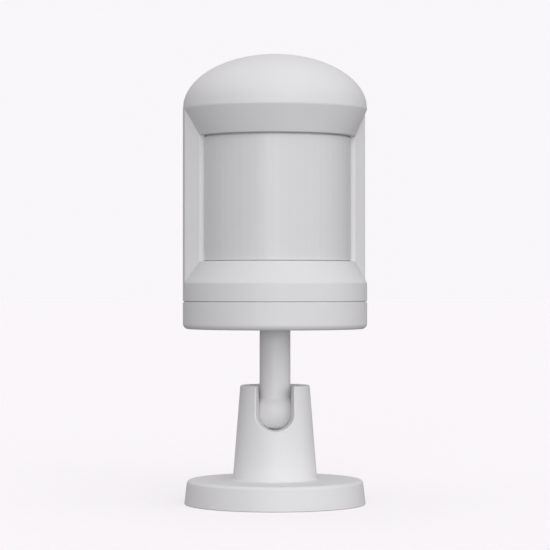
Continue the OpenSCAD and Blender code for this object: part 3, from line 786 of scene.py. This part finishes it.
# the chips: a dark body between two tinned ends, each in its place on the board
chip_places = [(-1.8 + 1.9 * column, 59.5 + 2.1 * row) for row in range(3) for column in range(5)]
chip_places += [(2.0, 69.2), (4.4, 69.2), (-12.0, 62.0), (-12.0, 73.2), (12.2, 71.0), (12.2, 84.0)]
body_half = 0.33
for name, half, height, material, slot in (
        ("chip_bodies", body_half, 0.42, black_moulding, "black_plastic"),
        ("chip_ends", 0.55, 0.40, solder_tin, "can_metal")):
    chip = rounded_block("chip", (-half, board_front - height, -0.28),
                         (half, board_front - 0.02, 0.28), 0.04, 2)
    if name == "chip_ends":
        cut(chip, block_bar((-body_half, board_front - 1, -1), (body_half, board_front + 1, 1)))
    chip = joined(name, copies(chip, [((x, 0, z), (0, 0, 0)) for x, z in chip_places]))
    hand_over(turn_with_head(chip), material, "cap", slot)


def turned_along_y(name, steps, x, z, corners=48):
    """A turned piece that points at the lens; its steps' heights are places along Y, and
    grow towards the back."""
    made = turned(name, steps, corners)
    made.rotation_euler.x = math.radians(-90)
    settle(made)
    made.location = (x * MM, 0, z * MM)
    settle(made)
    return made


capacitor_outline = [(0.3, -2.5), (1.9, -2.5), (2.05, -2.58), (2.3, -2.6)]
capacitor_outline += corner_arc(2.25, -2.35, 0.25, 290, 360, 3)
capacitor_outline += [(2.5, 0.9), (2.3, 1.15), (2.3, 1.4), (2.5, 1.6), (2.5, 2.2), (0.3, 2.2)]
capacitor_can = turned_along_y("capacitor_can", capacitor_outline, 9.8, 77.6)
cut(capacitor_can, block_bar((9.76, -2.7, 75.9), (9.84, -2.44, 79.3)))
cut(capacitor_can, block_bar((8.1, -2.7, 77.56), (11.5, -2.44, 77.64)))
turn_with_head(capacitor_can)
drawn_aluminium = plated_metal("drawn_aluminium", (0.62, 0.63, 0.65), 0.3, (1, 6, 1), 0.05)
hand_over(capacitor_can, drawn_aluminium, "cap", "capacitor_can", "capacitor")
capacitor_foot = rounded_block("capacitor_foot", (7.2, board_front - 0.7, 75.0),
                               (12.4, board_front, 80.2), 0.15, 2)
turn_with_head(capacitor_foot)
hand_over(capacitor_foot, black_moulding, "cap", "black_plastic")

# ---------------------------------------------------------------- infrared sensor and light
# The pyroelectric sensor: a pressed steel can with a filter window let into its face, three
# gilt pins and a black collar that holds it off the board. The status light is cast resin.
sensor_height = 77.6
can_outline = [(0.3, -4.3)]
can_outline += corner_arc(3.85, -4.0, 0.3, 270, 360, 4)
can_outline += corner_arc(4.45, -0.95, 0.3, 180, 90, 3)
can_outline += [(4.55, -0.65), (4.65, -0.5), (4.65, -0.1), (4.55, 0.0), (0.3, 0.0)]
sensor_can = turned_along_y("sensor_can", can_outline, 0, sensor_height, 72)
cut(sensor_can, block_bar((-2.0, -5, sensor_height - 1.5), (2.0, -3.9, sensor_height + 1.5)))
turn_with_head(sensor_can)
hand_over(sensor_can, pressed_can, "cap", "can_metal", "pir_sensor")


def filter_pane(name):
    """A polished near-black filter with a faint violet bloom."""
    made, nodes, links, shader, place = new_finish(name)
    shader.inputs["Roughness"].default_value = 0.08
    shader.inputs["Coat Weight"].default_value = 0.6
    bloom = set_node(nodes, "TexNoise", Scale=260.0)
    tint = nodes.new("ShaderNodeValToRGB")
    tint.color_ramp.elements[0].color = (0.006, 0.005, 0.009, 1.0)
    tint.color_ramp.elements[1].color = (0.022, 0.014, 0.034, 1.0)
    links.new(place.outputs["Object"], bloom.inputs["Vector"])
    links.new(bloom.outputs["Fac"], tint.inputs["Fac"])
    links.new(tint.outputs["Color"], shader.inputs["Base Color"])
    return made


def cast_resin(name):
    """Clear cast resin, a little cloudy towards the chip inside it."""
    made, nodes, links, shader, place = new_finish(name)
    shader.inputs["Transmission Weight"].default_value = 0.55
    shader.inputs["IOR"].default_value = 1.52
    cloud = set_node(nodes, "TexNoise", Scale=500.0)
    tint = nodes.new("ShaderNodeValToRGB")
    tint.color_ramp.elements[0].color = (0.62, 0.68, 0.66, 1.0)
    tint.color_ramp.elements[1].color = (0.86, 0.9, 0.88, 1.0)
    shine = set_node(nodes, "MapRange", To_Min=0.1, To_Max=0.22)
    links.new(place.outputs["Object"], cloud.inputs["Vector"])
    links.new(cloud.outputs["Fac"], tint.inputs["Fac"])
    links.new(cloud.outputs["Fac"], shine.inputs["Value"])
    links.new(tint.outputs["Color"], shader.inputs["Base Color"])
    links.new(shine.outputs["Result"], shader.inputs["Roughness"])
    return made


gilt_wire = plated_metal("gilt_wire", (0.75, 0.5, 0.2), 0.24, relief=0.03)
finish_node("pir_window", filter_pane("filter_pane"))
finish_node("pir_pins", gilt_wire)
finish_node("pir_collar", black_moulding)
finish_node("status_led", cast_resin("cast_resin"))

# ---------------------------------------------------------------- radio
# A small radio board soldered on the main one. A folded steel lid with vent holes covers its
# chips, and a wound wire aerial stands above it.
shield = rounded_block("radio_lid", (-2.6, board_front - 2.6, 86.2),
                       (7.6, board_front - 0.8, 96.2), 0.25, 3)
for x in (0.4, 2.5, 4.6):
    for z in (89.0, 91.2, 93.4):
        cut(shield, peg_along_y(0.35, x, z, board_front - 3, board_front - 2.3, 20))
turn_with_head(shield)
hand_over(shield, pressed_can, "cap", "can_metal", "radio_shield")
finish_node("antenna", gilt_wire)

# ---------------------------------------------------------------- switches and tamper plunger
# Two black-bodied microswitches on the board. The upper one has a red plunger that a post
# under the dome holds down, until the hood is lifted.
finish_node("button_switch", black_moulding)
finish_node("tamper_switch", black_moulding)
plunger_outline = [(0.3, 96.7), (0.95, 96.7), (0.95, 102.5), (0.85, 102.62), (0.68, 102.8),
                   (0.6, 102.95), (0.3, 103.0)]
plunger_at = (-8.5, 1.0, 0)
plunger = turned("plunger", plunger_outline, 32)
place_at(plunger, plunger_at)
turn_with_head(plunger)
plunger_red = moulded_plastic("plunger_red", (0.42, 0.02, 0.012), 0.3, relief=0.02)
hand_over(plunger, plunger_red, "tamper", "plunger_plastic", "tamper_plunger")

# ---------------------------------------------------------------- hood
# The white hood: wall, dome and the bevelled window frame are one moulding about 1.6 mm
# thick. The frame's four bevels run in to the lens, and every edge is softly rounded.
hood_radius = 23.5
dome_foot, dome_rise = 100.8, 13.8
frame_low, frame_high = 56.3, 100.5
open_low, open_high = 61.8, 93.6
open_radius, open_back_radius = 20.4, 18.95
frame_half_angle, open_half_angle = 88.0, 79.0

hood_outline = [(hood_radius - 0.12, 51.7), (hood_radius, 51.82), (hood_radius, frame_low),
                (hood_radius, frame_high)]
dome_bend = [math.radians(a) for a in (8, 15, 22, 29, 36, 43, 50, 57, 64, 70, 76, 81, 85, 88)]
hood_outline += [(hood_radius * math.cos(a), dome_foot + dome_rise * math.sin(a))
                 for a in dome_bend]
hood_shell = turned("hood_shell", hood_outline, 180, head_turn, filled=False)
select_edges(hood_shell, lambda e: e.is_boundary and e.verts[0].co.z > 0.11)
bpy.ops.mesh.extrude_region_move(TRANSFORM_OT_translate={"value": (0, 0, 0.00001)})
bpy.ops.mesh.merge(type="CENTER")
bpy.ops.object.mode_set(mode="OBJECT")


def window_angle(point):
    """How far round from the middle of the window a point is, in degrees."""
    here = head_spin.inverted() @ point
    return math.degrees(math.atan2(here.x, -here.y))


def in_window(face):
    """True for a face of the wall inside the frame's outer outline."""
    middle = face.calc_center_median()
    return frame_low < middle.z / MM < frame_high and abs(window_angle(middle)) < frame_half_angle


# the window's faces are pushed in to the opening's outline, then straight in, then opened
select_faces(hood_shell, in_window)
bpy.ops.mesh.extrude_region_move()
mesh = bmesh.from_edit_mesh(hood_shell.data)
squeeze = (open_high - open_low) / (frame_high - frame_low)
for vertex in [v for v in mesh.verts if v.select]:
    angle = math.radians(window_angle(vertex.co) * open_half_angle / frame_half_angle)
    height = open_low + (vertex.co.z / MM - frame_low) * squeeze
    vertex.co = head_spin @ Vector((open_radius * MM * math.sin(angle),
                                    -open_radius * MM * math.cos(angle), height * MM))
bmesh.update_edit_mesh(hood_shell.data)
bpy.ops.mesh.extrude_region_move()
depth = open_back_radius / open_radius
bpy.ops.transform.resize(value=(depth, depth, 1), center_override=(0, 0, 0))
bpy.ops.mesh.delete(type="FACE")
face_outwards()
wall = hood_shell.modifiers.new("wall", "SOLIDIFY")
wall.thickness = 1.55 * MM
wall.offset = -1.0
wall.use_even_offset = True
select_only(hood_shell)
bpy.ops.object.modifier_apply(modifier=wall.name)


def on_frame(vertex):
    """True for a point on the frame's outer or inner outline, on the hood's outside."""
    radius, height = math.hypot(vertex.co.x, vertex.co.y) / MM, vertex.co.z / MM
    return any(abs(radius - at) < 0.02 and low - 0.02 < height < high + 0.02
               for at, low, high in ((open_radius, open_low, open_high),
                                     (hood_radius, frame_low, frame_high)))


soften(hood_shell, lambda e: is_sharp(e, 18) and all(on_frame(v) for v in e.verts), 0.27, 4)
hand_over(hood_shell, shell_white, "hood", "shell_plastic", "hood")

# inside it: four screw bosses for the lens, the key that finds the cap's notch, and the post
# that holds the tamper plunger down
boss_outline = [(0.85, 18.05), (1.8, 18.05), (2.0, 18.25), (2.0, 20.85), (0.85, 20.85),
                (0.85, 18.05)]
lens_fixings = [(angle, height) for angle in (-35, 35) for height in (58.4, 97.2)]
inner_parts = []
for angle, height in lens_fixings:
    boss = turned("boss", boss_outline, 32)
    place_at(boss, (0, 0, 0), (90, 0, 0))
    place_at(boss, (0, 0, height), (0, 0, angle))
    inner_parts.append(boss)
key = rounded_block("key", (-1.7, 19.6, 54.8), (1.7, 22.3, 61.6), 0.25, 2)
post_outline = [(0.3, 103.1), (1.35, 103.1), (1.5, 103.25), (1.5, 112.0), (0.3, 112.0)]
post = turned("post", post_outline, 32)
place_at(post, plunger_at)
hood_inside = turn_with_head(joined("hood_inside", inner_parts + [key, post]))
hand_over(hood_inside, shell_white, "hood", "shell_plastic")

# ---------------------------------------------------------------- lens
# Milky infrared lens, a half cylinder snapped in behind the frame. Its outside is plain and
# satin; upright ribs on its inside show through as very faint bands.


def milky_lens(name, colour):
    """Milky infrared lens plastic: satin, with very faint upright bands where the ribs on its
    inside show through."""
    made = moulded_plastic(name, colour, 0.4, grain=0.0002, relief=0.03)
    nodes, links = made.node_tree.nodes, made.node_tree.links
    place = nodes["Texture Coordinate"]
    axes = nodes.new("ShaderNodeSeparateXYZ")
    round_angle = nodes.new("ShaderNodeMath")
    round_angle.operation = "ARCTAN2"
    count = nodes.new("ShaderNodeMath")
    count.operation = "MULTIPLY"
    count.inputs[1].default_value = 57.0
    wave = nodes.new("ShaderNodeMath")
    wave.operation = "SINE"
    band = set_node(nodes, "MapRange", From_Min=-1.0, To_Min=0.985, To_Max=1.0)
    tint = multiply_colour(nodes, colour)
    shader = nodes["Principled BSDF"]
    plain = shader.inputs["Base Color"].links[0].from_socket
    links.new(place.outputs["Object"], axes.inputs["Vector"])
    links.new(axes.outputs["X"], round_angle.inputs[0])
    links.new(axes.outputs["Y"], round_angle.inputs[1])
    links.new(round_angle.outputs["Value"], count.inputs[0])
    links.new(count.outputs["Value"], wave.inputs[0])
    links.new(wave.outputs["Value"], band.inputs["Value"])
    links.new(plain, tint.inputs["A"])
    links.new(band.outputs["Result"], tint.inputs["B"])
    links.new(tint.outputs["Result"], shader.inputs["Base Color"])
    return made


lens_white = milky_lens("lens_white", (0.72, 0.715, 0.725))
lens_half_angle, lens_steps = 78.5, 100
lens_inside, rib_crest, rib_spacing = 18.3, 18.14, 4
lens_outline = [(lens_inside, 63.0), (lens_inside, 92.2), (18.0, 92.2), (18.0, 94.9),
                (18.75, 94.9), (18.75, 93.25), (19.15, 93.25), (19.3, 93.1), (19.3, 62.1),
                (19.15, 61.95), (18.75, 61.95), (18.75, 60.5), (18.0, 60.5), (18.0, 63.0)]
bpy.ops.object.select_all(action="DESELECT")
bpy.ops.mesh.primitive_circle_add(vertices=len(lens_outline), radius=0.01)
lens = bpy.context.object
lens.name = "lens"
start = Matrix.Rotation(math.radians(-90 - lens_half_angle), 4, "Z")
for vertex, (radius, height) in zip(lens.data.vertices, lens_outline):
    vertex.co = head_spin @ start @ Vector((radius * MM, 0, height * MM))
bpy.ops.object.mode_set(mode="EDIT")
bpy.ops.mesh.select_all(action="SELECT")
bpy.ops.mesh.edge_face_add()
bpy.ops.mesh.select_all(action="SELECT")
bpy.ops.mesh.spin(steps=lens_steps, angle=math.radians(2 * lens_half_angle),
                  center=(0, 0, 0), axis=(0, 0, -1))
bpy.ops.mesh.select_all(action="SELECT")
bpy.ops.mesh.remove_doubles(threshold=0.000001)
bpy.ops.mesh.normals_make_consistent(inside=False)
mesh = bmesh.from_edit_mesh(lens.data)
rib_step = 2 * lens_half_angle / lens_steps
for vertex in mesh.verts:
    radius = math.hypot(vertex.co.x, vertex.co.y)
    step = round((window_angle(vertex.co) + lens_half_angle) / rib_step)
    if abs(radius - lens_inside * MM) < 0.02 * MM and step % rib_spacing == 0:
        vertex.co.xy *= rib_crest * MM / radius
bmesh.update_edit_mesh(lens.data)
bpy.ops.object.mode_set(mode="OBJECT")
hand_over(lens, lens_white, "hood", "lens_plastic", "fresnel_lens")

# ---------------------------------------------------------------- lens frame and screws
# An off-white moulded frame clamps the lens from inside, with four screws into the hood.
finish_node("lens_frame", moulded_plastic("frame_white", (0.62, 0.615, 0.61), 0.5, relief=0.08))
lens_screws = joined("frame_screws", copies(pan_screw(1.7, 1.2, 0.8, 4.2), [
    ((16.8 * math.sin(math.radians(a)), -16.8 * math.cos(math.radians(a)), z), (-90, 0, a))
    for a, z in lens_fixings]))
turn_with_head(lens_screws)
hand_over(lens_screws, screw_zinc, "hood", "screw_steel", "lens_screws")
